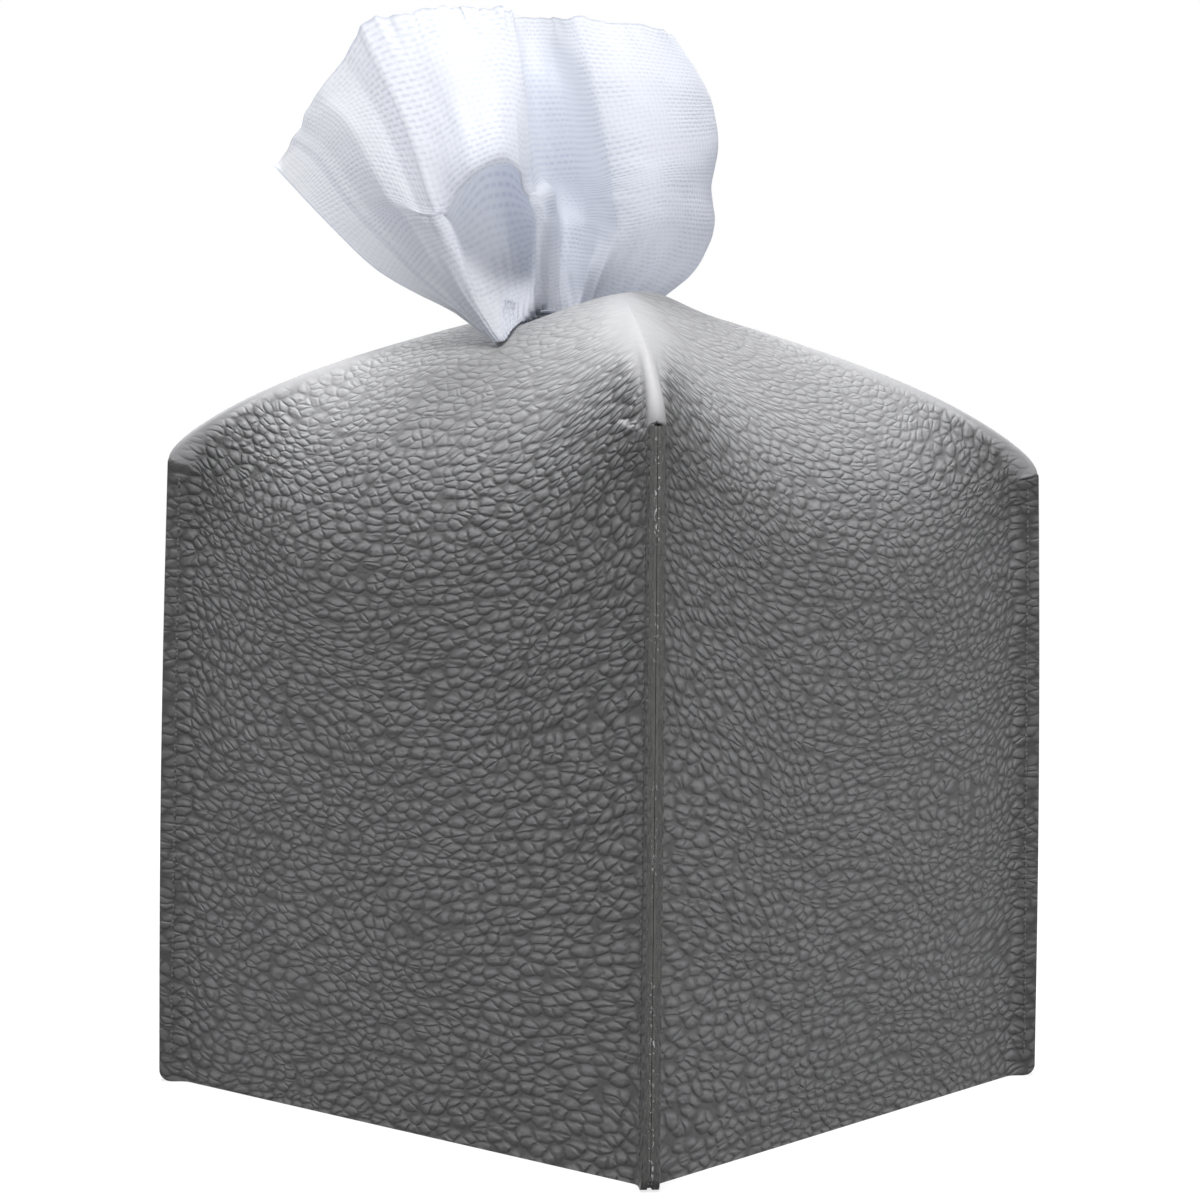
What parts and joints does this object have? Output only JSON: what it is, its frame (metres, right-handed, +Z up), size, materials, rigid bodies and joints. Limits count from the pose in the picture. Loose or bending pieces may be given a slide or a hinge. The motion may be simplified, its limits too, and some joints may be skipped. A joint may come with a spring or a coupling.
{
  "type": "tissue box cover",
  "caption": "Soft leather cover with a domed top and outward corner seams, over a cube carton of tissues with a tissue pulled up through its opening.",
  "frame": {"origin": "middle of the base, on the surface that the cover and its carton stand on", "axes": "+Z up; +X along the opening's length; the walls face X and Y, and the corner nearest the camera in the picture is at -X -Y"},
  "size_m": [0.1304, 0.1304, 0.2199],
  "materials": {
    "leather": "pebble grained, low sheen",
    "backing": "thin dark woven backing cloth",
    "thread": "dark polyester sewing thread",
    "board": "pale folding carton board",
    "film": "clear thin film",
    "tissue_stack": "soft embossed tissue paper",
    "tissue": "soft embossed tissue paper"
  },
  "bodies": {
    "carton_body": {"carton": "board", "carton_film": "film", "tissue_stack": "tissue_stack"},
    "cover_body": {"leather_shell": "leather", "backing_cloth": "backing", "seam_thread_front_left": "thread", "seam_thread_front_right": "thread", "seam_thread_back_right": "thread", "seam_thread_back_left": "thread"},
    "tissue_body": {"popup_tissue": "tissue"}
  },
  "joints": [
    {"name": "cover_lift", "type": "slide", "parent": "carton_body", "child": "cover_body", "axis": [0, 0, 1], "range_m": [0, 0.13]},
    {"name": "tissue_pull", "type": "slide", "parent": "cover_body", "child": "tissue_body", "axis": [0, 0, 1], "range_m": [0, 0.1]}
  ]
}
